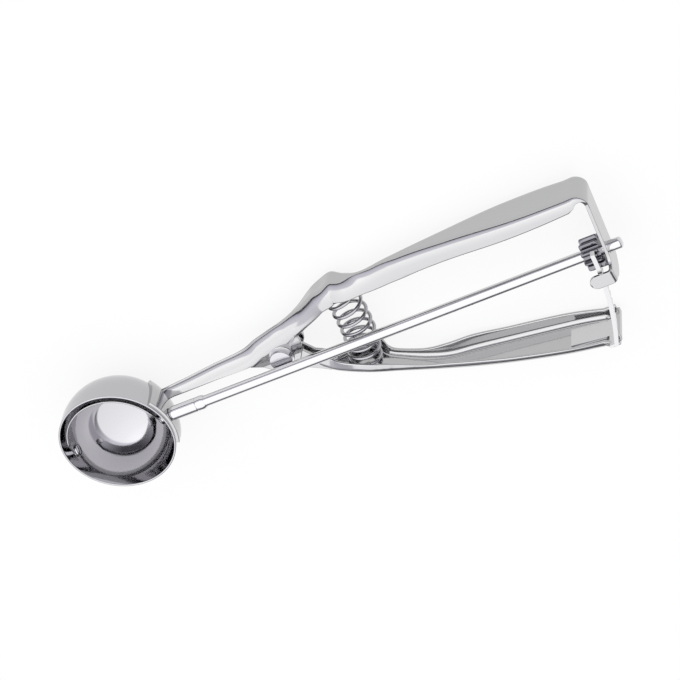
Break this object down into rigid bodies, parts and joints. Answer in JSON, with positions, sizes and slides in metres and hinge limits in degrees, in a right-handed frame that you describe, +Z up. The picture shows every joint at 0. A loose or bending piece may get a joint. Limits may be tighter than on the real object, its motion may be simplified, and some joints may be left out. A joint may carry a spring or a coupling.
{
  "type": "lever ice cream scoop",
  "caption": "Polished squeeze-handle ice cream scoop with a round bowl and a geared sweep blade.",
  "frame": {"origin": "on the ground under the middle of the tool's box, tool lying with its bowl's mouth up", "axes": "+X from the bowl along the rod to the handles' rear, +Y towards the fixed handle, +Z up, out of the bowl's mouth"},
  "size_m": [0.2177, 0.0611, 0.0264],
  "materials": {
    "polished_sheet": "mirror-polished stainless sheet",
    "stamped_steel": "stamped stainless strip, tumbled bright",
    "cut_steel": "cut gear steel, nickel bright on the flanks",
    "drawn_rod": "drawn and polished stainless rod",
    "turned_steel": "turned and polished stainless",
    "spring_wire": "bright drawn spring wire"
  },
  "bodies": {
    "frame": {"frame_handle": "polished_sheet", "bowl": "polished_sheet", "bowl_saddle": "polished_sheet", "blade_pin": "turned_steel", "pivot_rivet": "turned_steel", "pivot_washer": "stamped_steel", "return_spring": "spring_wire"},
    "lever": {"lever_handle": "polished_sheet", "rack": "stamped_steel"},
    "shaft": {"drive_rod": "drawn_rod", "drive_pinion": "cut_steel", "rod_ferrule": "polished_sheet", "sweep_blade": "polished_sheet"}
  },
  "joints": [
    {"name": "lever_squeeze", "type": "hinge", "parent": "frame", "child": "lever", "pos_m": [-0.01971, 0.00685, 0.00907], "axis": [0.0435, 0, 0.9991], "range_deg": [0, 7.59], "stiffness_Nm_per_rad": 2, "springref_deg": -20.05, "deforming": ["return_spring"]},
    {"name": "blade_turn", "type": "hinge", "parent": "frame", "child": "shaft", "pos_m": [0.01315, 0.00465, 0.01665], "axis": [0.9991, 0, -0.0435], "range_deg": [-180.5, 0]}
  ],
  "couplings": [
    {"joint": "blade_turn", "follows": "lever_squeeze", "ratio": -23.7}
  ]
}
